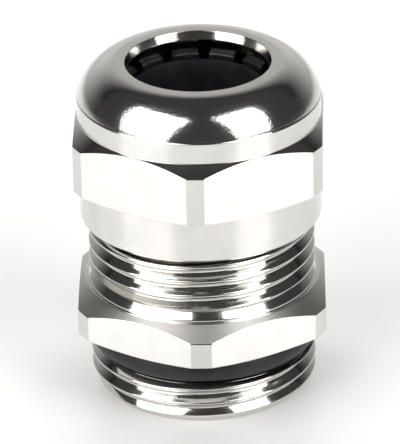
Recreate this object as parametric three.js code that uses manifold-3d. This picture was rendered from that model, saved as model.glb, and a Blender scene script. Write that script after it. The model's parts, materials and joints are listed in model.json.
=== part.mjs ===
// Domed metal cable gland for a 20.4 mm fine-pitch conduit thread.
// Millimetres, +Z along the cable. The gland stands on its entry thread, and
// z = 0 is the centre of the bottom end face.

import * as THREE from "three";
import Module from "manifold-3d";

const wasm = await Module();
wasm.setup();

// ---------- driving dimensions ----------

const SEGMENTS = 48; // facets round every turned surface

// The thread is the same on both ends of the body: 18 turns to the inch.
const PITCH = 25.4 / 18;
const CREST_R = 10.2;
const ROOT_R = 9.53;
const CREST_FLAT = 0.16;
const ROOT_FLAT = 0.16;
const FLANK = (PITCH - CREST_FLAT - ROOT_FLAT) / 2 / (CREST_R - ROOT_R);
const THREAD_PLAY = 0.1; // axial play on each flank inside the cap nut
const LOWER_CREST_Z = 3.43; // height of one crest of the entry thread, at the front
const UPPER_CREST_Z = 15.655; // height of one crest of the cap thread, at the front

// Gland body, from the bottom up
const END_CHAMFER_R = 9.45;
const END_CHAMFER_Z = 1.16;
const ENTRY_BORE_R = 7.0;
const ENTRY_EDGE = 0.4; // chamfer at the lower end of the bore
const RELIEF_R = 8.4; // groove between entry thread and hexagon, for the O-ring
const RELIEF_Z = 3.75;
const ENTRY_THREAD_EDGE = 0.06; // small chamfer where the entry thread ends
const SEAT_Z = 6.4; // underside of the hexagon, the face that meets the panel
const RECESS_R = 10.45; // shallow recess in that face, for the top of the O-ring
const RECESS_Z = 6.65;
const RECESS_DRAFT = 0.05;
const BODY_HEX_FLATS = 22.24;
const BODY_HEX_CORNER_R = 12.33;
const BODY_HEX_TURN = -1.2; // degrees
const SEAT_INSET = 0.14; // from the flats in to the seat's outer edge
const BODY_HEX_LOW_Z = 6.78;
const BODY_HEX_TOP_Z = 9.18;
const BODY_CONE_R = 10.52;
const BODY_CONE_Z = 10.25;
const COLLAR_R = 10.3; // narrow collar between the cone and the thread
const COLLAR_LOW_Z = 10.33;
const COLLAR_TOP_Z = 10.49;
const RUNOUT_R = 9.6; // groove that the cap thread runs out into
const RUNOUT_LOW_Z = 11.3;
const RUNOUT_TOP_Z = 11.55;
const RUNOUT_OVERLAP = 0.1; // how far the cap thread's cut reaches down into the groove
const BODY_TOP_Z = 19.6;
const BODY_TOP_EDGE_R = ROOT_R - 0.1;
const BODY_TOP_EDGE = 0.8; // height of the cone that starts the cap thread
const POCKET_R = 8.5; // counterbore that holds the clamping insert
const POCKET_Z = 12.5;
const POCKET_EDGE = 0.3; // chamfer at the mouth of the pocket

// O-ring
const O_RING_R = 9.43; // to the middle of its section
const O_RING_HALF_W = 0.97;
const O_RING_HALF_H = 1.15;

// Cap nut, from the bottom up
const SKIRT_Z = 16.45;
const SKIRT_R = 10.83;
const SKIRT_EDGE = 0.25;
const NUT_HEX_FLATS = 22.06;
const NUT_HEX_CORNER_R = 12.3;
const NUT_HEX_TURN = -2.35; // degrees
const NUT_HEX_LOW_Z = 20.91;
const NUT_HEX_FOOT = 0.4; // height of the cone under the hexagon
const SKIRT_STEP = 0.06; // height of the step from the skirt out to the flats
const NUT_HEX_TOP_Z = 25.31;
const BAND_R = 10.9;
const BAND_LOW_Z = 26.14;
const BAND_TOP_Z = 28.0;
const DOME_GAP = 0.06; // fine groove between the band and the dome
const DOME_START = 20; // degrees round its ellipse at which the dome begins
const TOP_RING_R = 7.4;
const TOP_Z = 31.1;
const MOUTH_R = 6.45;
const MOUTH_EDGE = 0.1;
const LIP_R = 6.27; // the mouth narrows to this at the bottom of its lip
const LIP_LOW_Z = 30.3;
const NUT_CONE_TOP_R = 6.6;
const NUT_BORE_R = 9.7;
const NUT_GROOVE_R = 10.33;
const NUT_LEAD_IN = 0.6; // height of the cone that opens the nut's thread
const NUT_RELIEF_R = 10.4; // groove above the nut's thread
const NUT_RELIEF_EDGE = 0.3; // height of the cone that leads into that groove
const NUT_CAVITY_R = 9.2; // room for the fingers above the thread
const NUT_THREAD_TOP_Z = 22.6;
const NUT_THREAD_OVERRUN = 0.9; // past the bore, so that no ridge is left in the body's way
const NUT_RELIEF_TOP_Z = 24.2;
const NUT_CAVITY_LOW_Z = 24.4;
const NUT_CONE_Z = 26.7; // the cone that presses the fingers in starts here

// Clamping insert: a plain ring below, twelve fingers on top
const CLAW_OUT_R = 8.35;
const CLAW_IN_R = 7.35;
const CLAW_RING_TOP_Z = 19.3;
const CLAW_FOOT_EDGE = 0.3;
const FINGERS = 12;
const FIRST_FINGER = 10; // degrees from +X to the middle of the first finger
const HINGE_R = 7.85;
const HINGE_Z = 19.5;
const FINGER_LEAN = 7.6; // degrees the fingers lean in at rest
const FINGER_FOOT_HALF_W = 1.5;
const FINGER_TIP_HALF_W = 1.2;
const FINGER_SIDE = [
  // one finger seen from the side while upright: outward and up from its hinge
  [-0.26, -0.02],
  [0.26, -0.02],
  [0.3, 1.3],
  [0.44, 1.9],
  [0.4, 9.83],
  [-0.3, 9.52],
  [-0.44, 1.9],
  [-0.3, 1.3],
];

// Sealing insert
const SEAL_FOOT_R = 7.2;
const SEAL_TOP_R = 6.1;
const SEAL_BORE_R = 5.9;
const SEAL_TOP_Z = 28.6;
const SEAL_TOP_EDGE_R = 0.05;
const SEAL_TOP_EDGE_Z = 0.15;
const SEAL_LEAD_R = 0.4; // funnel at the lower end of the seal's bore
const SEAL_LEAD_Z = 0.5;

// ---------- materials ----------

const nickel = new THREE.MeshStandardMaterial({
  color: 0xd8d5cf,
  metalness: 1,
  roughness: 0.2,
});
const nylon = new THREE.MeshStandardMaterial({
  color: 0x191a1c,
  metalness: 0,
  roughness: 0.45,
});
const rubber = new THREE.MeshStandardMaterial({
  color: 0x121316,
  metalness: 0,
  roughness: 0.7,
});

// ---------- shape helpers ----------

const radians = THREE.MathUtils.degToRad;

// A closed three.js geometry as a solid for cutting and joining.
function solid(geometry) {
  const source = geometry.index ? geometry.toNonIndexed() : geometry;
  const position = source.getAttribute("position");
  const keys = new Map();
  const points = [];
  const triVerts = new Uint32Array(position.count);
  for (let i = 0; i < position.count; i++) {
    const p = [position.getX(i), position.getY(i), position.getZ(i)];
    const key = p.map((v) => Math.round(v * 1e4)).join();
    if (!keys.has(key)) {
      keys.set(key, points.length / 3);
      points.push(...p);
    }
    triVerts[i] = keys.get(key);
  }
  const kept = [];
  for (let i = 0; i < triVerts.length; i += 3) {
    const [a, b, c] = triVerts.subarray(i, i + 3);
    if (a !== b && b !== c && c !== a) kept.push(a, b, c);
  }
  return new wasm.Manifold(
    new wasm.Mesh({
      numProp: 3,
      vertProperties: new Float32Array(points),
      triVerts: new Uint32Array(kept),
    }),
  );
}

// A cut or joined solid back as a three.js geometry.
function geometryOf(made) {
  const mesh = made.getMesh();
  const geometry = new THREE.BufferGeometry();
  geometry.setAttribute("position", new THREE.BufferAttribute(mesh.vertProperties, 3));
  geometry.setIndex(new THREE.BufferAttribute(mesh.triVerts, 1));
  return geometry;
}

// Turned shape about +Z. The outline is a closed loop of [radius, height],
// going up on the outside and down on the inside.
function turned(outline) {
  const points = [...outline, outline[0]].map(([r, z]) => new THREE.Vector2(r, z));
  const geometry = new THREE.LatheGeometry(points, SEGMENTS);
  geometry.rotateX(Math.PI / 2);
  return geometry;
}

// Hexagonal bar along +Z, tall enough to cover the whole gland.
function hexagonBar(acrossFlats, turn) {
  const radius = acrossFlats / Math.sqrt(3);
  const geometry = new THREE.CylinderGeometry(radius, radius, 3 * TOP_Z, 6);
  geometry.rotateX(Math.PI / 2);
  // a corner faces the front, then the bar is turned by the given angle
  geometry.rotateZ(radians(turn));
  return geometry;
}

// Right-handed helical bar. halfWidth(r) gives half its height at radius r, and
// midZ is the height of its middle at the front.
function helicalBar({ innerR, outerR, halfWidth, midZ, fromZ, toZ }) {
  const step = PITCH / SEGMENTS;
  const first = Math.ceil((fromZ - midZ) / step);
  const last = Math.floor((toZ - midZ) / step);
  const positions = [];
  const indices = [];
  for (let i = first; i <= last; i++) {
    const angle = -Math.PI / 2 + (2 * Math.PI * i) / SEGMENTS;
    const z = midZ + i * step;
    const corners = [
      [innerR, -halfWidth(innerR)],
      [outerR, -halfWidth(outerR)],
      [outerR, halfWidth(outerR)],
      [innerR, halfWidth(innerR)],
    ];
    for (const [r, dz] of corners)
      positions.push(r * Math.cos(angle), r * Math.sin(angle), z + dz);
  }
  const rings = last - first;
  for (let i = 0; i < rings; i++)
    for (let k = 0; k < 4; k++) {
      const a = 4 * i + k;
      const b = 4 * i + ((k + 1) % 4);
      indices.push(a, b, b + 4, a, b + 4, a + 4);
    }
  const end = 4 * rings;
  indices.push(0, 2, 1, 0, 3, 2);
  indices.push(end, end + 1, end + 2, end, end + 2, end + 3);
  const geometry = new THREE.BufferGeometry();
  geometry.setAttribute("position", new THREE.Float32BufferAttribute(positions, 3));
  geometry.setIndex(indices);
  // the order of the corners winds the bar inwards, so each face is turned round
  const faces = geometry.index;
  for (let i = 0; i < faces.count; i += 3) {
    const kept = faces.getX(i + 1);
    faces.setX(i + 1, faces.getX(i + 2));
    faces.setX(i + 2, kept);
  }
  return geometry;
}

const group = new THREE.Group();

function add(name, geometry, material) {
  const mesh = new THREE.Mesh(geometry, material);
  mesh.name = name;
  group.add(mesh);
  return mesh;
}

// ---------- gland body ----------

const bodyOutline = [
  [ENTRY_BORE_R + ENTRY_EDGE, 0],
  [END_CHAMFER_R, 0],
  [CREST_R, END_CHAMFER_Z],
  [CREST_R, RELIEF_Z - ENTRY_THREAD_EDGE],
  [CREST_R - ENTRY_THREAD_EDGE, RELIEF_Z],
  [RELIEF_R, RELIEF_Z],
  [RELIEF_R, RECESS_Z],
  [RECESS_R, RECESS_Z],
  [RECESS_R + RECESS_DRAFT, SEAT_Z],
  [BODY_HEX_FLATS / 2 - SEAT_INSET, SEAT_Z],
  [BODY_HEX_CORNER_R, BODY_HEX_LOW_Z],
  [BODY_HEX_CORNER_R, BODY_HEX_TOP_Z],
  [BODY_CONE_R, BODY_CONE_Z],
  [BODY_CONE_R, COLLAR_LOW_Z],
  [COLLAR_R, COLLAR_LOW_Z],
  [COLLAR_R, COLLAR_TOP_Z],
  [RUNOUT_R, RUNOUT_LOW_Z],
  [RUNOUT_R, RUNOUT_TOP_Z],
  [CREST_R, RUNOUT_TOP_Z],
  [CREST_R, BODY_TOP_Z - BODY_TOP_EDGE],
  [BODY_TOP_EDGE_R, BODY_TOP_Z],
  [POCKET_R + POCKET_EDGE, BODY_TOP_Z],
  [POCKET_R, BODY_TOP_Z - POCKET_EDGE],
  [POCKET_R, POCKET_Z],
  [ENTRY_BORE_R, POCKET_Z],
  [ENTRY_BORE_R, ENTRY_EDGE],
];

const CUTTER_MARGIN = 0.1; // a cutter goes this far past the surface that it cuts
const threadGroove = {
  innerR: ROOT_R,
  outerR: CREST_R + CUTTER_MARGIN,
  halfWidth: (r) => ROOT_FLAT / 2 + (r - ROOT_R) * FLANK,
};
const lowerGroove = helicalBar({
  ...threadGroove,
  midZ: LOWER_CREST_Z - PITCH / 2,
  fromZ: -PITCH, // below the end face
  toZ: RELIEF_Z + PITCH,
});
const upperGroove = helicalBar({
  ...threadGroove,
  midZ: UPPER_CREST_Z - PITCH / 2,
  fromZ: RUNOUT_TOP_Z - RUNOUT_OVERLAP,
  toZ: BODY_TOP_Z + PITCH,
});

const body = solid(turned(bodyOutline))
  .intersect(solid(hexagonBar(BODY_HEX_FLATS, BODY_HEX_TURN)))
  .subtract(solid(lowerGroove))
  .subtract(solid(upperGroove));
add("gland_body", geometryOf(body), nickel);

// ---------- O-ring ----------

const ringOutline = [];
const RING_SIDES = 12;
for (let i = 0; i < RING_SIDES; i++) {
  const angle = (2 * Math.PI * i) / RING_SIDES;
  ringOutline.push([
    O_RING_R + O_RING_HALF_W * Math.cos(angle),
    (RELIEF_Z + RECESS_Z) / 2 + O_RING_HALF_H * Math.sin(angle),
  ]);
}
add("o_ring", turned(ringOutline), rubber);

// ---------- cap nut ----------

const nutOutline = [
  [NUT_GROOVE_R, SKIRT_Z],
  [SKIRT_R - SKIRT_EDGE, SKIRT_Z],
  [SKIRT_R, SKIRT_Z + SKIRT_EDGE],
  [SKIRT_R, NUT_HEX_LOW_Z - NUT_HEX_FOOT - SKIRT_STEP],
  [NUT_HEX_FLATS / 2, NUT_HEX_LOW_Z - NUT_HEX_FOOT],
  [NUT_HEX_CORNER_R, NUT_HEX_LOW_Z],
  [NUT_HEX_CORNER_R, NUT_HEX_TOP_Z],
  [BAND_R, BAND_LOW_Z],
  [BAND_R, BAND_TOP_Z],
];
// The dome is part of an ellipse. It leans inwards from its foot, and meets the
// flat ring on top without an edge.
const DOME_STEPS = 8;
const domeStart = radians(DOME_START);
const domeHalfW = (BAND_R - DOME_GAP - TOP_RING_R) / Math.cos(domeStart);
const domeHalfH = (TOP_Z - BAND_TOP_Z - DOME_GAP) / (1 - Math.sin(domeStart));
for (let i = 0; i <= DOME_STEPS; i++) {
  const angle = THREE.MathUtils.lerp(domeStart, Math.PI / 2, i / DOME_STEPS);
  nutOutline.push([
    TOP_RING_R + domeHalfW * Math.cos(angle),
    TOP_Z - domeHalfH * (1 - Math.sin(angle)),
  ]);
}
nutOutline.push(
  [MOUTH_R + MOUTH_EDGE, TOP_Z],
  [MOUTH_R, TOP_Z - MOUTH_EDGE],
  [LIP_R, LIP_LOW_Z],
  [NUT_CONE_TOP_R, LIP_LOW_Z],
  [NUT_CAVITY_R, NUT_CONE_Z],
  [NUT_CAVITY_R, NUT_CAVITY_LOW_Z],
  [NUT_RELIEF_R, NUT_RELIEF_TOP_Z],
  [NUT_RELIEF_R, NUT_THREAD_TOP_Z + NUT_RELIEF_EDGE],
  [NUT_BORE_R, NUT_THREAD_TOP_Z],
  [NUT_BORE_R, SKIRT_Z + NUT_LEAD_IN],
);

const nutGroove = helicalBar({
  innerR: NUT_BORE_R - CUTTER_MARGIN,
  outerR: NUT_GROOVE_R,
  halfWidth: (r) => CREST_FLAT / 2 + (CREST_R - r) * FLANK + THREAD_PLAY,
  midZ: UPPER_CREST_Z,
  fromZ: SKIRT_Z - PITCH,
  toZ: NUT_THREAD_TOP_Z + NUT_THREAD_OVERRUN,
});
const nut = solid(turned(nutOutline))
  .intersect(solid(hexagonBar(NUT_HEX_FLATS, NUT_HEX_TURN)))
  .subtract(solid(nutGroove));
add("cap_nut", geometryOf(nut), nickel);

// ---------- clamping insert ----------

add(
  "claw_ring",
  turned([
    [CLAW_IN_R, POCKET_Z],
    [CLAW_OUT_R - CLAW_FOOT_EDGE, POCKET_Z],
    [CLAW_OUT_R, POCKET_Z + CLAW_FOOT_EDGE],
    [CLAW_OUT_R, CLAW_RING_TOP_Z],
    [CLAW_IN_R, CLAW_RING_TOP_Z],
  ]),
  nylon,
);

// One upright finger: its side outline repeated on five columns across its
// width, each set back to follow the round of the ring.
function fingerGeometry() {
  const columns = [-1, -0.5, 0, 0.5, 1];
  const count = FINGER_SIDE.length;
  const height = Math.max(...FINGER_SIDE.map(([, up]) => up));
  const positions = [];
  const indices = [];
  for (const column of columns)
    for (const [out, up] of FINGER_SIDE) {
      const share = Math.max(0, up) / height;
      const halfW = THREE.MathUtils.lerp(FINGER_FOOT_HALF_W, FINGER_TIP_HALF_W, share);
      const across = column * halfW;
      const radius = HINGE_R + out;
      positions.push(Math.sqrt(radius ** 2 - across ** 2) - HINGE_R, across, up);
    }
  for (let c = 0; c < columns.length - 1; c++)
    for (let k = 0; k < count; k++) {
      const a = c * count + k;
      const b = c * count + ((k + 1) % count);
      indices.push(a, a + count, b + count, a, b + count, b);
    }
  const outline = FINGER_SIDE.map(([out, up]) => new THREE.Vector2(out, up));
  const cap = THREE.ShapeUtils.triangulateShape(outline, []);
  const end = (columns.length - 1) * count;
  for (const [a, b, c] of cap) {
    indices.push(a, b, c);
    indices.push(end + a, end + c, end + b);
  }
  const geometry = new THREE.BufferGeometry();
  geometry.setAttribute("position", new THREE.Float32BufferAttribute(positions, 3));
  geometry.setIndex(indices);
  return geometry;
}

for (let i = 0; i < FINGERS; i++) {
  const geometry = fingerGeometry();
  geometry.rotateY(radians(-FINGER_LEAN));
  geometry.translate(HINGE_R, 0, HINGE_Z);
  geometry.rotateZ(radians(FIRST_FINGER + (i * 360) / FINGERS));
  add(`claw_finger_${String(i + 1).padStart(2, "0")}`, geometry, nylon);
}

// ---------- sealing insert ----------

add(
  "sealing_insert",
  turned([
    [SEAL_BORE_R + SEAL_LEAD_R, POCKET_Z],
    [SEAL_FOOT_R, POCKET_Z],
    [SEAL_FOOT_R, CLAW_RING_TOP_Z],
    [SEAL_TOP_R, SEAL_TOP_Z - SEAL_TOP_EDGE_Z],
    [SEAL_TOP_R - SEAL_TOP_EDGE_R, SEAL_TOP_Z],
    [SEAL_BORE_R, SEAL_TOP_Z],
    [SEAL_BORE_R, POCKET_Z + SEAL_LEAD_Z],
  ]),
  rubber,
);

export default group;
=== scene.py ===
import json
from math import acos, cos, pi, radians, sin

import bpy
import numpy as np
from mathutils import Matrix, Vector


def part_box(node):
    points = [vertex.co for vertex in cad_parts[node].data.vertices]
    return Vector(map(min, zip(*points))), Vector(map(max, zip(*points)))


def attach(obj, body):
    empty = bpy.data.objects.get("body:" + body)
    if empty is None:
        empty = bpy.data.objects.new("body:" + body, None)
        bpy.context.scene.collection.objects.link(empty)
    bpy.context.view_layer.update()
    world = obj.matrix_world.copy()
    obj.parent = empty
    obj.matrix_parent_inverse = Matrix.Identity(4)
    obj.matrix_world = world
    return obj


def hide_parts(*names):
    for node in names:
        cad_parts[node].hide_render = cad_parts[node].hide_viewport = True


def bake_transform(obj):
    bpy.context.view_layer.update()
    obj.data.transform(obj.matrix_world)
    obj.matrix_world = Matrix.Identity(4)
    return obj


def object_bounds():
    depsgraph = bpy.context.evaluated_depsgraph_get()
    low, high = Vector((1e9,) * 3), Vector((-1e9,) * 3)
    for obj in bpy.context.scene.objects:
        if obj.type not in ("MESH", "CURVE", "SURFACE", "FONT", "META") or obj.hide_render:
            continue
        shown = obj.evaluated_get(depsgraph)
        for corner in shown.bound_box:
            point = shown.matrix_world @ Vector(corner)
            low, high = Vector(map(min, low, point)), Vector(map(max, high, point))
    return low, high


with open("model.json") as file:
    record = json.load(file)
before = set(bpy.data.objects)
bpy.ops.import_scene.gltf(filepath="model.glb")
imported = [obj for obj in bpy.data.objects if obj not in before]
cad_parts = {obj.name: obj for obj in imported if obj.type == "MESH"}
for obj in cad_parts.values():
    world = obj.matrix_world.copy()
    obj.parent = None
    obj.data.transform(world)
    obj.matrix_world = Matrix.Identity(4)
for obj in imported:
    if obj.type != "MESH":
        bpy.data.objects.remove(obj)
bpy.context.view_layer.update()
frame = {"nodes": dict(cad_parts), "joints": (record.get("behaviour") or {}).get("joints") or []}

MM = 0.001

# ---------- driving dimensions, in millimetres ----------

PITCH = 25.4 / 18
CREST_R = 10.2
ROOT_R = 9.53
CREST_FLAT = 0.16
ROOT_FLAT = 0.16
CORE_R = ROOT_R - 0.03  # plain metal just under the thread
THREAD_ROUNDING = 0.07
LOWER_CREST_Z = 3.43
UPPER_CREST_Z = 15.655

COLUMNS_PER_TURN = 192
CORNER_STEPS = 3  # short chords that round each corner of an outline
CORNER_SHARE = 0.45  # the most of a side that one corner may take


def box_mm(node):
    """Lowest and highest corner of a CAD node, in millimetres."""
    low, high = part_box(node)
    return low / MM, high / MM


BODY_HIGH = box_mm("gland_body")[1]
NUT_LOW, NUT_HIGH = box_mm("cap_nut")
RING_LOW, RING_HIGH = box_mm("o_ring")
CLAW_LOW, CLAW_HIGH = box_mm("claw_ring")
SEAL_LOW, SEAL_HIGH = box_mm("sealing_insert")


# ---------- mesh helpers ----------

def rounded(outline, radius, steps=CORNER_STEPS, closed=True):
    """Outlines (columns, points, 2) with each corner turned into a short curve."""
    outline = np.asarray(outline, float)
    count = outline.shape[1]
    result = []
    for k in range(count):
        here = outline[:, k]
        if not closed and k in (0, count - 1):
            result.append(here)
            continue
        before = outline[:, k - 1] - here
        after = outline[:, (k + 1) % count] - here
        long_before = np.linalg.norm(before, axis=1, keepdims=True) + 1e-9
        long_after = np.linalg.norm(after, axis=1, keepdims=True) + 1e-9
        start = here + before / long_before * np.minimum(radius, CORNER_SHARE * long_before)
        end = here + after / long_after * np.minimum(radius, CORNER_SHARE * long_after)
        for t in np.linspace(0, 1, steps + 1):
            result.append((1 - t) ** 2 * start + 2 * t * (1 - t) * here + t**2 * end)
    return np.stack(result, axis=1)


def smooth_by_area(mesh):
    """Vertex normals weighted by face area, so that flats stay flat to their edges."""
    coordinates = np.empty(len(mesh.vertices) * 3)
    mesh.vertices.foreach_get("co", coordinates)
    coordinates = coordinates.reshape(-1, 3)
    normals = np.zeros_like(coordinates)
    for polygon in mesh.polygons:
        corners = list(polygon.vertices)
        weighted = np.array(polygon.normal) * polygon.area
        normals[corners] += weighted
    lengths = np.linalg.norm(normals, axis=1, keepdims=True)
    normals = np.where(lengths > 0, normals / np.maximum(lengths, 1e-20), (0, 0, 1))
    mesh.polygons.foreach_set("use_smooth", [True] * len(mesh.polygons))
    mesh.normals_split_custom_set_from_vertices(normals)


def make_object(name, vertices_mm, faces, materials, face_materials=None):
    mesh = bpy.data.meshes.new(name)
    mesh.from_pydata((np.asarray(vertices_mm) * MM).tolist(), [], faces)
    for material in materials:
        mesh.materials.append(material)
    if face_materials is not None:
        mesh.polygons.foreach_set("material_index", face_materials)
    smooth_by_area(mesh)
    made = bpy.data.objects.new(name, mesh)
    bpy.context.scene.collection.objects.link(made)
    return made


def skin(angles, outlines):
    """Vertices and faces of a shape swept about +Z, one closed outline at each angle."""
    columns, points = outlines.shape[:2]
    radius, height = outlines[..., 0], outlines[..., 1]
    turn = np.asarray(angles)[:, None]
    vertices = np.stack(
        [radius * np.cos(turn), radius * np.sin(turn), height], axis=-1
    ).reshape(-1, 3)
    faces = []
    for i in range(columns):
        for k in range(points):
            a = i * points + k
            b = i * points + (k + 1) % points
            shift = points if i < columns - 1 else -i * points
            faces.append((a, a + shift, b + shift, b))
    return vertices, faces


def turned(name, outline, material, radius, steps=CORNER_STEPS):
    """A plain turned shape about +Z from one closed outline of (radius, height)."""
    angles = np.arange(COLUMNS_PER_TURN) * 2 * pi / COLUMNS_PER_TURN
    outlines = np.repeat(np.asarray(outline, float)[None], len(angles), axis=0)
    vertices, faces = skin(angles, rounded(outlines, radius, steps))
    return make_object(name, vertices, faces, [material])


def joined(name, pieces, materials):
    """One object from several (vertices, faces, face materials)."""
    vertices, faces, slots = [], [], []
    for piece_vertices, piece_faces, piece_slots in pieces:
        offset = sum(len(v) for v in vertices)
        vertices.append(piece_vertices)
        faces += [tuple(int(v) + offset for v in face) for face in piece_faces]
        slots += list(piece_slots)
    return make_object(name, np.concatenate(vertices), faces, materials, slots)


# ---------- hexagons and threads ----------

def hexagon_angles(half_flats, corner_r, turn):
    """Angles round a hexagon whose corners are turned off at corner_r, dense at each edge."""
    half_land = pi / 6 - acos(half_flats / corner_r)
    edge = radians(0.35)
    on_land = 7
    on_flat = 30
    angles = []
    for side in range(6):
        corner = radians(-90 + turn + 60 * side)
        land_end = corner + half_land
        flat_end = corner + pi / 3 - half_land
        angles += list(np.linspace(corner - half_land + edge, land_end - edge, on_land))
        angles.append(land_end)
        angles += list(np.linspace(land_end + edge, flat_end - edge, on_flat))
        angles.append(flat_end)
    return np.array(angles)


def hexagon_radius(angles, half_flats, corner_r, turn):
    from_flat = (angles - radians(turn - 60) + pi / 6) % (pi / 3) - pi / 6
    return np.minimum(half_flats / np.cos(from_flat), corner_r)


def thread_profile(crest_r, root_r, crest_flat, root_flat, rounding):
    """One pitch of thread from root to root, as (radius, height from the crest's middle)."""
    half_crest = crest_flat / 2
    corners = [
        (root_r, -PITCH / 2),
        (root_r, -PITCH / 2 + root_flat / 2),
        (crest_r, -half_crest),
        (crest_r, half_crest),
        (root_r, PITCH / 2 - root_flat / 2),
        (root_r, PITCH / 2),
    ]
    return rounded(np.array([corners]), rounding, steps=2, closed=False)[0]


def thread(profile, crest_z, low_z, high_z, limit, inward=False):
    """A right-handed thread surface between two heights. limit(radius, height) trims it."""
    step = 2 * pi / COLUMNS_PER_TURN
    rise = PITCH / COLUMNS_PER_TURN
    first = int((low_z - crest_z - PITCH / 2) / rise) - 1
    last = int((high_z - crest_z + PITCH / 2) / rise) + 1
    index = np.arange(first, last + 1)
    angle = (-pi / 2 + index * step)[:, None]
    height = crest_z + index[:, None] * rise + profile[None, :, 1]
    radius = np.repeat(profile[None, :, 0], len(index), axis=0)
    height = np.clip(height, low_z, high_z)
    radius = limit(radius, height)
    vertices = np.stack(
        [radius * np.cos(angle), radius * np.sin(angle), height], axis=-1
    ).reshape(-1, 3)
    points = profile.shape[0]
    faces = []
    for i in range(len(index) - 1):
        for k in range(points - 1):
            a = i * points + k
            face = (a, a + points, a + points + 1, a + 1)
            heights = [vertices[v][2] for v in face]
            if max(heights) - min(heights) > 1e-4 or low_z < heights[0] < high_z:
                faces.append(face[::-1] if inward else face)
    return vertices, faces


def thread_radius(profile, crest_z, angles, height):
    """Radius of the thread's surface where it passes a height, at each angle."""
    line = crest_z + (angles + pi / 2) / (2 * pi) * PITCH
    offset = (height - line + PITCH / 2) % PITCH - PITCH / 2
    return np.interp(offset, profile[:, 1], profile[:, 0])


# ---------- materials ----------

class Nodes:
    """Short forms for building one material's node tree."""

    def __init__(self, name):
        self.material = bpy.data.materials.new(name)
        self.material.use_nodes = True
        self.tree = self.material.node_tree
        self.shader = self.tree.nodes["Principled BSDF"]

    def add(self, kind, **settings):
        node = self.tree.nodes.new("ShaderNode" + kind)
        for key, value in settings.items():
            setattr(node, key, value)
        return node

    def set(self, socket, value):
        if isinstance(value, bpy.types.NodeSocket):
            self.tree.links.new(value, socket)
        else:
            socket.default_value = value

    def math(self, operation, a, b=0.0):
        node = self.add("Math", operation=operation)
        self.set(node.inputs[0], a)
        self.set(node.inputs[1], b)
        return node.outputs[0]

    def vector(self, x, y, z):
        node = self.add("CombineXYZ")
        for socket, value in zip(node.inputs, (x, y, z)):
            self.set(socket, value)
        return node.outputs[0]

    def noise(self, vector, scale, detail=2.0, roughness=0.5):
        node = self.add("TexNoise")
        self.set(node.inputs["Vector"], vector)
        self.set(node.inputs["Scale"], scale)
        self.set(node.inputs["Detail"], detail)
        self.set(node.inputs["Roughness"], roughness)
        return node.outputs["Fac"]

    def remap(self, value, low, high, from_low=0.3, from_high=0.7):
        node = self.add("MapRange")
        for socket, given in zip(node.inputs, (value, from_low, from_high, low, high)):
            self.set(socket, given)
        return node.outputs[0]

    def mix(self, share, a, b):
        node = self.add("Mix", data_type="RGBA")
        self.set(node.inputs[0], share)
        self.set(node.inputs[6], a)
        self.set(node.inputs[7], b)
        return node.outputs[2]

    def bump(self, height, distance, normal=None):
        node = self.add("Bump")
        self.set(node.inputs["Strength"], 1.0)
        self.set(node.inputs["Distance"], distance)
        self.set(node.inputs["Height"], height)
        if normal is not None:
            self.set(node.inputs["Normal"], normal)
        return node.outputs[0]

    def position(self):
        """The shaded point in millimetres, as one vector and as x, y and z."""
        coordinates = self.add("TexCoord").outputs["Object"]
        scaled = self.add("VectorMath", operation="SCALE")
        self.set(scaled.inputs[0], coordinates)
        self.set(scaled.inputs["Scale"], 1000.0)
        split = self.add("SeparateXYZ")
        self.set(split.inputs[0], scaled.outputs[0])
        return scaled.outputs[0], *split.outputs

    def radius(self, x, y):
        squares = self.math("ADD", self.math("MULTIPLY", x, x), self.math("MULTIPLY", y, y))
        return self.math("SQRT", squares)


RING_DRIFT = 0.02  # how far the rings stray from true circles
ACROSS_RINGS = 0.25  # turn of the gloss, as a share of a full turn
DRAWN_STRETCH = 0.04  # along the bar, the grain's scale as a share of that across it
FLOW_STRETCH = 0.3


def nickel_turned(name, smooth, rough, stretch, ring_depth, peel_depth):
    """Bright nickel over lathe-turned brass: fine rings, orange peel, faint clouding and specks.
    smooth and rough bound its roughness, and stretch drags the gloss out across the rings."""
    n = Nodes(name)
    point, x, y, z = n.position()
    drift_x = n.math("MULTIPLY", x, RING_DRIFT)
    drift_y = n.math("MULTIPLY", y, RING_DRIFT)
    rings = n.vector(n.math("ADD", n.radius(x, y), drift_x), z, drift_y)
    fine = n.noise(rings, scale=9.0, detail=3.0, roughness=0.6)
    broad = n.noise(rings, scale=2.2, detail=2.0, roughness=0.5)
    cloud = n.noise(point, scale=0.35, detail=3.0, roughness=0.55)
    speck = n.noise(point, scale=14.0, detail=2.0, roughness=0.6)
    tint = n.mix(n.remap(cloud, 0, 1), (0.70, 0.685, 0.655, 1), (0.78, 0.76, 0.72, 1))
    tint = n.mix(n.remap(broad, 0, 0.35), tint, (0.66, 0.645, 0.62, 1))
    n.set(n.shader.inputs["Base Color"], tint)
    n.set(n.shader.inputs["Metallic"], 1.0)
    polish = n.math("ADD", n.remap(fine, smooth, rough), n.remap(speck, 0.0, 0.03))
    n.set(n.shader.inputs["Roughness"], polish)
    n.set(n.shader.inputs["Anisotropic"], stretch)
    n.set(n.shader.inputs["Anisotropic Rotation"], ACROSS_RINGS)
    tangent = n.add("Tangent", direction_type="RADIAL", axis="Z")
    n.set(n.shader.inputs["Tangent"], tangent.outputs[0])
    relief = n.bump(fine, ring_depth)
    relief = n.bump(broad, 2 * ring_depth, relief)
    peel = n.noise(point, scale=4.5, detail=2.0, roughness=0.6)
    relief = n.bump(peel, peel_depth, relief)
    n.set(n.shader.inputs["Normal"], relief)
    return n.material


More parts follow.
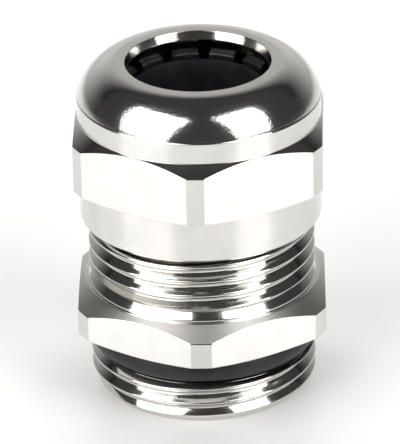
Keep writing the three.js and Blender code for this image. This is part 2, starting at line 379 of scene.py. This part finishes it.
def nickel_drawn():
    """Bright nickel over drawn hexagon bar: grain along the bar and handling marks."""
    n = Nodes("nickel_drawn")
    point, x, y, z = n.position()
    along = n.vector(x, y, n.math("MULTIPLY", z, DRAWN_STRETCH))
    grain = n.noise(along, scale=7.0, detail=3.0, roughness=0.6)
    cloud = n.noise(point, scale=0.4, detail=3.0, roughness=0.5)
    pits = n.noise(point, scale=6.0, detail=3.0, roughness=0.7)
    tint = n.mix(n.remap(cloud, 0, 1), (0.74, 0.725, 0.70, 1), (0.80, 0.785, 0.75, 1))
    n.set(n.shader.inputs["Base Color"], tint)
    n.set(n.shader.inputs["Metallic"], 1.0)
    n.set(n.shader.inputs["Roughness"], n.remap(grain, 0.10, 0.19))
    relief = n.bump(grain, 8e-7)
    relief = n.bump(n.remap(pits, 0, 1, 0.62, 0.75), 3e-6, relief)
    n.set(n.shader.inputs["Normal"], relief)
    return n.material


def black_rubber():
    n = Nodes("black_rubber")
    point = n.position()[0]
    grain = n.noise(point, scale=9.0, detail=4.0, roughness=0.6)
    bloom = n.noise(point, scale=0.7, detail=3.0, roughness=0.5)
    tint = n.mix(n.remap(bloom, 0, 1), (0.007, 0.0073, 0.009, 1), (0.016, 0.0165, 0.020, 1))
    n.set(n.shader.inputs["Base Color"], tint)
    n.set(n.shader.inputs["Roughness"], n.remap(grain, 0.38, 0.58))
    n.set(n.shader.inputs["Specular IOR Level"], 0.45)
    n.set(n.shader.inputs["Normal"], n.bump(grain, 6e-6))
    return n.material


def black_nylon():
    n = Nodes("black_nylon")
    point, x, y, z = n.position()
    grain = n.noise(point, scale=12.0, detail=3.0, roughness=0.55)
    along = n.vector(x, y, n.math("MULTIPLY", z, FLOW_STRETCH))
    flow = n.noise(along, scale=1.2, detail=3.0, roughness=0.5)
    tint = n.mix(n.remap(flow, 0, 1), (0.008, 0.008, 0.008, 1), (0.018, 0.018, 0.018, 1))
    n.set(n.shader.inputs["Base Color"], tint)
    n.set(n.shader.inputs["Roughness"], n.remap(grain, 0.28, 0.42))
    n.set(n.shader.inputs["Normal"], n.bump(grain, 4e-6))
    return n.material


# finishes of the metal, in the order of METALS
TURNED, DRAWN, CONE, THREAD = range(4)
METALS = [
    nickel_turned(
        "nickel_turned", smooth=0.08, rough=0.15, stretch=0.6, ring_depth=6e-7, peel_depth=9e-6
    ),
    nickel_drawn(),
    nickel_turned(
        "nickel_cone", smooth=0.36, rough=0.48, stretch=0.7, ring_depth=2.5e-6, peel_depth=0.0
    ),
    nickel_turned(
        "nickel_thread", smooth=0.07, rough=0.13, stretch=0.4, ring_depth=6e-7, peel_depth=2e-6
    ),
]
RUBBER = black_rubber()
NYLON = black_nylon()


def in_slot(piece, slot, body, *nodes):
    """The piece rides on a body and stands for CAD nodes, which are hidden. slot is not used."""
    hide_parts(*nodes)
    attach(piece, body)


# ---------- gland body ----------

BODY_HALF_FLATS = 11.12
BODY_CORNER_R = 12.33
BODY_TURN = -1.2
EDGE_ROUNDING = 0.07
END_R = 9.45
END_CHAMFER_Z = 1.16
ENTRY_BORE_R = 7.0
ENTRY_EDGE = 0.4
RELIEF_R = 8.4
RELIEF_Z = 3.75
ENTRY_THREAD_EDGE = 0.06
SEAT_Z = 6.4
RECESS_R = 10.45
RECESS_Z = 6.65
RECESS_DRAFT = 0.05
SEAT_INSET = 0.14
HEX_LOW_Z = 6.78
HEX_TOP_Z = 9.18
CONE_TOP_R = 10.52
CONE_TOP_Z = 10.25
COLLAR_R = 10.3
COLLAR_LOW_Z = 10.33
COLLAR_TOP_Z = 10.49
RUNOUT_R = 9.6
RUNOUT_LOW_Z = 11.3
RUNOUT_TOP_Z = 11.55
BODY_TOP_EDGE_R = ROOT_R - 0.1
BODY_TOP_EDGE = 0.8
POCKET_R = 8.5
POCKET_Z = CLAW_LOW.z
POCKET_EDGE = 0.3
HIDDEN_STEP = 0.02  # where a hidden surface under a thread leaves the visible outline
CORE_LOW_Z = 0.08
CORE_TOP_GAP = 0.1

# the points of an outline that vary with the angle
LOW_EDGE, TOP_EDGE, THREAD_END = range(3)


def hexagon_between(angles, hexagon, low_foot, low_z, top_z, top_foot):
    """Side points of a chamfered hexagon: where the lower and the upper cone meet its sides.
    hexagon is its half width over flats, its corners' radius and its turn. low_foot and
    top_foot are the (radius, height) where each cone starts."""
    side_r = hexagon_radius(angles, *hexagon)
    corner_r = hexagon[1]
    low_slope = (low_z - low_foot[1]) / (corner_r - low_foot[0])
    top_slope = (top_foot[1] - top_z) / (corner_r - top_foot[0])
    low = low_foot[1] + (side_r - low_foot[0]) * low_slope
    top = top_foot[1] - (side_r - top_foot[0]) * top_slope
    return np.stack([side_r, low], axis=1), np.stack([side_r, top], axis=1)


def columns_of(outline, angles, varying):
    """Outlines at every angle. A bare number in the outline picks one of the varying points."""
    stacked = []
    for point in outline:
        if isinstance(point, int):
            stacked.append(varying[point])
        else:
            stacked.append(np.repeat([point], len(angles), axis=0))
    return np.stack(stacked, axis=1)


def finishes(angles, faces, points, hexagon, flat_start, cone_finish, upper_finish):
    """Finish of each face: drawn on the hexagon's flats, turned on the rest of that stretch and
    below it, and the given ones on the cone over the hexagon and above that. flat_start is the
    outline point where the stretch of the flats starts. The cone is one rounded corner on."""
    middle = (angles + np.roll(angles, -1)) / 2
    middle[-1] = angles[-1] + 0.001  # the last column closes the circle, so its mean is no use
    corner_r = hexagon[1]
    on_flat = hexagon_radius(middle, *hexagon) < corner_r - 1e-6
    cone_start = flat_start + CORNER_STEPS + 1
    result = []
    for index in range(len(faces)):
        column, point = divmod(index, points)
        if point > cone_start:
            result.append(upper_finish)
        elif point == cone_start:
            result.append(cone_finish)
        elif point == flat_start and on_flat[column]:
            result.append(DRAWN)
        else:
            result.append(TURNED)
    return result


def body_metal():
    hexagon = (BODY_HALF_FLATS, BODY_CORNER_R, BODY_TURN)
    low_foot = (BODY_HALF_FLATS - SEAT_INSET, SEAT_Z)
    top_foot = (CONE_TOP_R, CONE_TOP_Z)
    top_z = BODY_HIGH.z
    angles = hexagon_angles(*hexagon)
    hexagon_low, hexagon_top = hexagon_between(
        angles, hexagon, low_foot, HEX_LOW_Z, HEX_TOP_Z, top_foot
    )
    profile = thread_profile(CREST_R, ROOT_R, CREST_FLAT, ROOT_FLAT, THREAD_ROUNDING)
    end_r = thread_radius(profile, UPPER_CREST_Z, angles, RUNOUT_TOP_Z)
    thread_end = np.stack([end_r, np.full(len(angles), RUNOUT_TOP_Z)], axis=1)
    varying = (hexagon_low, hexagon_top, thread_end)
    outline = [
        (ENTRY_BORE_R + ENTRY_EDGE, 0),
        (END_R, 0),
        (CORE_R, CORE_LOW_Z),
        (CORE_R, RELIEF_Z),
        (RELIEF_R, RELIEF_Z),
        (RELIEF_R, RECESS_Z),
        (RECESS_R, RECESS_Z),
        (RECESS_R + RECESS_DRAFT, SEAT_Z),
        low_foot,
        LOW_EDGE,
        TOP_EDGE,
        top_foot,
        (CONE_TOP_R, COLLAR_LOW_Z),
        (COLLAR_R, COLLAR_LOW_Z),
        (COLLAR_R, COLLAR_TOP_Z),
        (RUNOUT_R, RUNOUT_LOW_Z),
        (RUNOUT_R, RUNOUT_TOP_Z - HIDDEN_STEP),
        THREAD_END,
        (CORE_R, RUNOUT_TOP_Z + HIDDEN_STEP),
        (CORE_R, top_z - CORE_TOP_GAP),
        (BODY_TOP_EDGE_R, top_z),
        (POCKET_R + POCKET_EDGE, top_z),
        (POCKET_R, top_z - POCKET_EDGE),
        (POCKET_R, POCKET_Z),
        (ENTRY_BORE_R, POCKET_Z),
        (ENTRY_BORE_R, ENTRY_EDGE),
    ]
    outlines = rounded(columns_of(outline, angles, varying), EDGE_ROUNDING)
    vertices, faces = skin(angles, outlines)
    flat_start = outline.index(LOW_EDGE) * (CORNER_STEPS + 1) + CORNER_STEPS
    slots = finishes(angles, faces, outlines.shape[1], hexagon, flat_start, CONE, THREAD)

    def lower_limit(radius, height):
        end_cone = END_R + height * (CREST_R - END_R) / END_CHAMFER_Z
        shoulder = CREST_R - ENTRY_THREAD_EDGE + RELIEF_Z - height
        return np.minimum(radius, np.minimum(end_cone, shoulder))

    def upper_limit(radius, height):
        slope = (CREST_R - BODY_TOP_EDGE_R) / BODY_TOP_EDGE
        end_cone = BODY_TOP_EDGE_R + (top_z - height) * slope
        return np.minimum(radius, end_cone)

    lower = thread(profile, LOWER_CREST_Z, 0.0, RELIEF_Z, lower_limit)
    upper = thread(profile, UPPER_CREST_Z, RUNOUT_TOP_Z, top_z, upper_limit)
    pieces = [
        (vertices, faces, slots),
        (*lower, [THREAD] * len(lower[1])),
        (*upper, [THREAD] * len(upper[1])),
    ]
    return joined("gland_body_metal", pieces, METALS)


# ---------- cap nut ----------

NUT_HALF_FLATS = 11.03
NUT_CORNER_R = 12.3
NUT_TURN = -2.35
NUT_EDGE_ROUNDING = 0.05
SKIRT_R = 10.83
SKIRT_EDGE = 0.25
SKIRT_STEP = 0.02  # step between the skirt and the cone under the hexagon
NUT_HEX_FOOT = 0.46  # height of that cone
NUT_HEX_LOW_Z = 20.91
NUT_HEX_TOP_Z = 25.31
BAND_R = 10.9
BAND_LOW_Z = 26.14
BAND_TOP_Z = 28.0
DOME_GAP = 0.06
DOME_START = 20  # degrees round the ellipse
DOME_STEPS = 20
TOP_RING_R = 7.4
MOUTH_TOP_R = 6.53
LIP_R = 6.27
LIP_LOW_Z = 30.3
LIP_LAND = 0.05
NUT_CONE_TOP_R = 6.6
NUT_BORE_R = 9.7
NUT_GROOVE_R = 10.33
NUT_HIDDEN_R = 10.36  # plain metal just behind the thread's grooves
NUT_RELIEF_R = 10.4
NUT_RELIEF_EDGE = 0.3
NUT_RELIEF_TOP_Z = 24.2
NUT_LEAD_IN = 0.6
NUT_CAVITY_R = 9.2
NUT_THREAD_TOP_Z = 22.6
NUT_CAVITY_LOW_Z = 24.4
NUT_CONE_Z = 26.7
THREAD_PLAY = 0.1


def dome_points():
    """From the groove over the band, round part of an ellipse, to the flat ring on top."""
    start = radians(DOME_START)
    half_w = (BAND_R - DOME_GAP - TOP_RING_R) / cos(start)
    half_h = (NUT_HIGH.z - BAND_TOP_Z - DOME_GAP) / (1 - sin(start))
    angles = np.linspace(start, pi / 2, DOME_STEPS + 1)
    return [
        (TOP_RING_R + half_w * cos(angle), NUT_HIGH.z - half_h * (1 - sin(angle)))
        for angle in angles
    ]


def nut_metal():
    skirt_z = NUT_LOW.z
    hexagon = (NUT_HALF_FLATS, NUT_CORNER_R, NUT_TURN)
    low_foot = (SKIRT_R + SKIRT_STEP, NUT_HEX_LOW_Z - NUT_HEX_FOOT)
    top_foot = (BAND_R, BAND_LOW_Z)
    angles = hexagon_angles(*hexagon)
    varying = hexagon_between(
        angles, hexagon, low_foot, NUT_HEX_LOW_Z, NUT_HEX_TOP_Z, top_foot
    )
    outline = [
        (NUT_HIDDEN_R, skirt_z),
        (SKIRT_R - SKIRT_EDGE, skirt_z),
        (SKIRT_R, skirt_z + SKIRT_EDGE),
        (SKIRT_R, low_foot[1] - SKIRT_STEP),
        low_foot,
        LOW_EDGE,
        TOP_EDGE,
        top_foot,
        (BAND_R, BAND_TOP_Z),
        *dome_points(),
        (MOUTH_TOP_R, NUT_HIGH.z),
        (LIP_R, LIP_LOW_Z + LIP_LAND),
        (LIP_R, LIP_LOW_Z),
        (NUT_CONE_TOP_R, LIP_LOW_Z),
        (NUT_CAVITY_R, NUT_CONE_Z),
        (NUT_CAVITY_R, NUT_CAVITY_LOW_Z),
        (NUT_RELIEF_R, NUT_RELIEF_TOP_Z),
        (NUT_RELIEF_R, NUT_THREAD_TOP_Z + NUT_RELIEF_EDGE),
        (NUT_HIDDEN_R, NUT_THREAD_TOP_Z),
    ]
    outlines = rounded(columns_of(outline, angles, varying), NUT_EDGE_ROUNDING)
    vertices, faces = skin(angles, outlines)
    flat_start = outline.index(LOW_EDGE) * (CORNER_STEPS + 1) + CORNER_STEPS
    slots = finishes(angles, faces, outlines.shape[1], hexagon, flat_start, TURNED, TURNED)

    flank = (PITCH - CREST_FLAT - ROOT_FLAT) / 2 / (CREST_R - ROOT_R)
    body_half = CREST_FLAT / 2 + (CREST_R - NUT_BORE_R) * flank + THREAD_PLAY
    groove_half = CREST_FLAT / 2 + (CREST_R - NUT_GROOVE_R) * flank + THREAD_PLAY
    # the groove is where the body's crest runs, so the profile starts and ends on the bore
    profile = thread_profile(
        NUT_GROOVE_R, NUT_BORE_R, 2 * groove_half, PITCH - 2 * body_half, NUT_EDGE_ROUNDING
    )

    def inner_limit(radius, height):
        depth = NUT_GROOVE_R - NUT_BORE_R
        lead_in = NUT_GROOVE_R - (height - skirt_z) * depth / NUT_LEAD_IN
        lead_out = NUT_BORE_R + (height - NUT_THREAD_TOP_Z) * depth / NUT_RELIEF_EDGE
        return np.minimum(NUT_GROOVE_R, np.maximum(radius, np.maximum(lead_in, lead_out)))

    low_z = skirt_z + HIDDEN_STEP
    high_z = NUT_THREAD_TOP_Z + NUT_RELIEF_EDGE
    inner = thread(profile, UPPER_CREST_Z, low_z, high_z, inner_limit, inward=True)
    pieces = [(vertices, faces, slots), (*inner, [THREAD] * len(inner[1]))]
    return joined("cap_nut_metal", pieces, METALS)


# ---------- O-ring ----------

RING_SIDES = 90
MOULDING_LINE = (79, 80)  # the sides of the section that carry the line
MOULDING_HEIGHT = 0.04
RING_GAP = 0.06  # between the ring and the groove it sits in


def ring_rubber():
    """A round ring with a faint moulding line low on its outside."""
    middle_r = (RING_HIGH.x + RELIEF_R + RING_GAP) / 2
    half_w = RING_HIGH.x - middle_r
    middle_z = (RING_LOW.z + RING_HIGH.z) / 2
    half_h = (RING_HIGH.z - RING_LOW.z) / 2
    outline = []
    for i in range(RING_SIDES):
        angle = 2 * pi * i / RING_SIDES
        line = MOULDING_HEIGHT if i in MOULDING_LINE else 0.0
        outline.append(
            (middle_r + (half_w + line) * cos(angle), middle_z + (half_h + line) * sin(angle))
        )
    return turned("o_ring_rubber", outline, RUBBER, radius=0.01, steps=1)


# ---------- clamping insert ----------

CLAW_IN_R = 7.35
CLAW_FOOT_EDGE = 0.3
FINGER_EDGE = 0.09
WELD_WITHIN = 0.002
SHARP_FROM = 35  # degrees between two faces
WEB_HALF_W = 1.1
WEB_HALF_THICKNESS = 0.16
WEB_IN_RING = 0.25  # how far a web reaches down into the ring
WEB_IN_FINGER = 0.6  # how far it reaches up past the hinge
WEB_ROWS = 9
FINGER_JOINTS = [j for j in frame["joints"] if j["name"].startswith("finger_")]


def claw_nylon():
    """The plain ring that the fingers stand on, with its chamfered foot."""
    out_r = CLAW_HIGH.x
    outline = [
        (CLAW_IN_R, CLAW_LOW.z),
        (out_r - CLAW_FOOT_EDGE, CLAW_LOW.z),
        (out_r, CLAW_LOW.z + CLAW_FOOT_EDGE),
        (out_r, CLAW_HIGH.z),
        (CLAW_IN_R, CLAW_HIGH.z),
    ]
    return turned("claw_ring_nylon", outline, NYLON, radius=0.12)


def finish_finger(node):
    """A CAD finger takes the nylon. Its own mesh stays, and modifiers round its edges a little."""
    finger = frame["nodes"][node]
    finger.material_slots[0].material = NYLON
    weld = finger.modifiers.new("weld", "WELD")
    weld.merge_threshold = WELD_WITHIN * MM
    bevel = finger.modifiers.new("bevel", "BEVEL")
    bevel.width = FINGER_EDGE * MM
    bevel.segments = 2
    bevel.limit_method = "ANGLE"
    bevel.angle_limit = radians(SHARP_FROM)
    normals = finger.modifiers.new("normals", "WEIGHTED_NORMAL")
    normals.keep_sharp = False


def hinge_web(joint):
    """The thin nylon that joins a finger to the ring."""
    hinge = Vector(joint["pos_m"]) / MM
    outward = Vector((hinge.x, hinge.y, 0)).normalized()
    across = Vector((-outward.y, outward.x, 0))
    low_z = CLAW_HIGH.z - WEB_IN_RING
    high_z = hinge.z + WEB_IN_FINGER
    vertices = []
    for row in range(WEB_ROWS):
        z = low_z + (high_z - low_z) * row / (WEB_ROWS - 1)
        for side, face in ((-1, -1), (1, -1), (1, 1), (-1, 1)):
            sideways = across * (side * WEB_HALF_W)
            corner = hinge + sideways + outward * (face * WEB_HALF_THICKNESS)
            vertices.append((corner.x, corner.y, z))
    faces = [(3, 2, 1, 0), tuple(4 * (WEB_ROWS - 1) + k for k in range(4))]
    for row in range(WEB_ROWS - 1):
        for k in range(4):
            a = 4 * row + k
            b = 4 * row + (k + 1) % 4
            faces.append((a, b, b + 4, a + 4))
    web = make_object(joint["name"] + "_web", vertices, faces, [NYLON])
    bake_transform(web)


# ---------- sealing insert ----------

SEAL_TOP_R = 6.1
SEAL_BORE_R = 5.9
SEAL_TOP_EDGE = 0.15
SEAL_END_ROUNDING = 0.08
SEAL_ROWS = 26
SEAL_COLUMNS = 9
HALF_TWELFTH = 15  # degrees
HALF_TONGUE = 18.5
TONGUE_INSET = 0.3  # of the wall's thickness, on each side


def seal_outer(height):
    """Outer radius of the rubber tube at a height: straight in the ring, then tapering."""
    straight_z = CLAW_HIGH.z
    taper_end_z = SEAL_HIGH.z - SEAL_TOP_EDGE
    share = np.clip((height - straight_z) / (taper_end_z - straight_z), 0, 1)
    return SEAL_HIGH.x + (SEAL_TOP_R - SEAL_HIGH.x) * share


def seal_segment(joint):
    """One twelfth of the rubber tube, centred on its finger's hinge. A thin tongue inside the wall
    covers the seam to its neighbours."""
    hinge = Vector(joint["pos_m"]) / MM
    middle = np.arctan2(hinge.y, hinge.x)
    heights = np.linspace(SEAL_LOW.z, SEAL_HIGH.z, SEAL_ROWS)
    pieces = []
    across = SEAL_COLUMNS
    ring = 2 * across
    for half_degrees, inset in ((HALF_TWELFTH, 0.0), (HALF_TONGUE, TONGUE_INSET)):
        half_angle = radians(half_degrees)
        angles = middle + np.linspace(-half_angle, half_angle, across)
        vertices = []
        for z in heights:
            outer = seal_outer(z)
            wall = outer - SEAL_BORE_R
            end_round = SEAL_END_ROUNDING if z in (heights[0], heights[-1]) else 0.0
            set_in = inset * wall + end_round
            for r in (SEAL_BORE_R + set_in, outer - set_in):
                vertices += [(r * cos(a), r * sin(a), z) for a in angles]
        top = (len(heights) - 1) * ring
        faces = []
        for start_row in range(0, top, ring):
            for k in range(across - 1):
                a = start_row + k
                faces.append((a, a + ring, a + ring + 1, a + 1))
                b = a + across
                faces.append((b, b + 1, b + ring + 1, b + ring))
        for k in range(across - 1):
            faces.append((k, k + 1, across + k + 1, across + k))
            faces.append((top + k, top + across + k, top + across + k + 1, top + k + 1))
        pieces.append((np.array(vertices), faces, [0] * len(faces)))
        # the two side faces have vertices of their own, so that no shading crosses the seams
        for side in (0, across - 1):
            strip = []
            for start_row in range(0, top + 1, ring):
                strip += [vertices[start_row + side], vertices[start_row + across + side]]
            faces = []
            for a in range(0, len(strip) - 2, 2):
                face = (a, a + 1, a + 3, a + 2)
                faces.append(face if side == 0 else face[::-1])
            pieces.append((np.array(strip), faces, [0] * len(faces)))
    segment = joined(joint["name"].replace("bend", "seal"), pieces, [RUBBER])
    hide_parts("sealing_insert")
    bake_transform(segment)


in_slot(body_metal(), "nickel", "gland_body", "gland_body")
in_slot(nut_metal(), "nickel", "cap_nut", "cap_nut")
in_slot(ring_rubber(), "rubber", "gland_body", "o_ring")
in_slot(claw_nylon(), "nylon", "clamping_insert", "claw_ring")
for finger_joint in FINGER_JOINTS:
    finish_finger("claw_" + finger_joint["child"])
    hinge_web(finger_joint)
    seal_segment(finger_joint)


# ---------- studio ----------

low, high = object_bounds()
centre = Vector(((low[0] + high[0]) / 2, (low[1] + high[1]) / 2, low[2]))
tall = high[2] - low[2]


def plane(name, width, depth, material, matrix):
    mesh = bpy.data.meshes.new(name)
    half_w, half_d = width / 2, depth / 2
    signs = ((-1, -1), (1, -1), (1, 1), (-1, 1))
    corners = [(across * half_w, along * half_d, 0) for across, along in signs]
    mesh.from_pydata(corners, [], [(0, 1, 2, 3)])
    mesh.materials.append(material)
    made = bpy.data.objects.new(name, mesh)
    made.matrix_world = matrix
    bpy.context.scene.collection.objects.link(made)


WHITE = (0.84, 0.84, 0.83, 1)
# painted shade: the backdrop darkens to this black towards its upper edge, between the heights
# below
SHADE_BLACK = (0.02, 0.02, 0.02, 1)
SHADE_FADE_BETWEEN = (-60.0, 330.0)  # mm from the middle of the backdrop


def floor_white():
    n = Nodes("floor_white")
    point = n.position()[0]
    grain = n.noise(point, scale=0.05, detail=2.0, roughness=0.5)
    tint = n.mix(n.remap(grain, 0, 1), (0.80, 0.80, 0.79, 1), WHITE)
    n.set(n.shader.inputs["Base Color"], tint)
    n.set(n.shader.inputs["Roughness"], 0.3)
    return n.material


def backdrop_painted_shade():
    """White low down and dark at its upper edge, where painted shade stands in for the unlit
    studio, so that its reflection ends softly.
    """
    n = Nodes("backdrop_painted_shade")
    y = n.position()[2]
    n.set(n.shader.inputs["Base Color"], n.mix(n.remap(y, 0, 1, *SHADE_FADE_BETWEEN), WHITE, SHADE_BLACK))
    n.set(n.shader.inputs["Roughness"], 0.6)
    return n.material


def soft_box(name, azimuth, elevation, distance, width, height, power):
    """An area light round the object, azimuth from the camera's side, facing the object."""
    light = bpy.data.lights.new(name, "AREA")
    light.shape = "RECTANGLE"
    light.size = width
    light.size_y = height
    light.energy = power
    turn = radians(azimuth - 90)
    rise = radians(elevation)
    away = Vector((cos(turn) * cos(rise), sin(turn) * cos(rise), sin(rise)))
    target = centre + Vector((0, 0, tall / 2))
    made = bpy.data.objects.new(name, light)
    made.location = target + away * distance
    made.rotation_euler = away.to_track_quat("Z", "Y").to_euler()
    bpy.context.scene.collection.objects.link(made)
    return made


def floor_light(power):
    """A lamp high behind the object that whitens the floor and isn't seen in the metal."""
    made = soft_box(
        "floor_light", azimuth=180, elevation=62, distance=0.5, width=0.5, height=0.4, power=power
    )
    made.visible_glossy = False


def set_world(strength):
    world = bpy.data.worlds.new("studio")
    world.use_nodes = True
    world.node_tree.nodes["Background"].inputs["Color"].default_value = (1, 1, 1, 1)
    world.node_tree.nodes["Background"].inputs["Strength"].default_value = strength
    bpy.context.scene.world = world


def add_camera(distance, elevation, roll, lens, shift_x, shift_y, aim_z):
    camera = bpy.data.cameras.new("camera")
    camera.lens = lens
    camera.sensor_width = 36
    camera.shift_x = shift_x
    camera.shift_y = shift_y
    camera.clip_start = 0.01
    made = bpy.data.objects.new("camera", camera)
    rise = radians(elevation)
    away = Vector((0, -cos(rise), sin(rise)))
    place = centre + Vector((0, 0, aim_z)) + away * distance
    look = away.to_track_quat("Z", "Y").to_matrix().to_4x4()
    made.matrix_world = Matrix.Translation(place) @ look @ Matrix.Rotation(radians(roll), 4, "Z")
    bpy.context.scene.collection.objects.link(made)
    bpy.context.scene.camera = made


WALL_W = 2.4  # the backdrop's sizes and its distance behind the object, in metres
WALL_H = 0.7
WALL_AWAY = 0.55
plane("floor", 3, 3, floor_white(), Matrix.Translation(centre))
upright = Matrix.Rotation(radians(90), 4, "X")
wall_place = Matrix.Translation(centre + Vector((0, WALL_AWAY, WALL_H / 2)))
plane("backdrop", WALL_W, WALL_H, backdrop_painted_shade(), wall_place @ upright)
soft_box("left_box", azimuth=-53, elevation=35, distance=0.45, width=0.40, height=0.46, power=1.9)
soft_box("right_box", azimuth=51, elevation=36, distance=0.45, width=0.27, height=0.44, power=1.5)
floor_light(power=1.9)
set_world(0.05)
add_camera(
    distance=0.4,
    elevation=26.44,
    roll=-1.22,
    lens=360,
    shift_x=-0.0031,
    shift_y=0.0033,
    aim_z=0.015,
)
bpy.context.scene.view_settings.view_transform = "Standard"
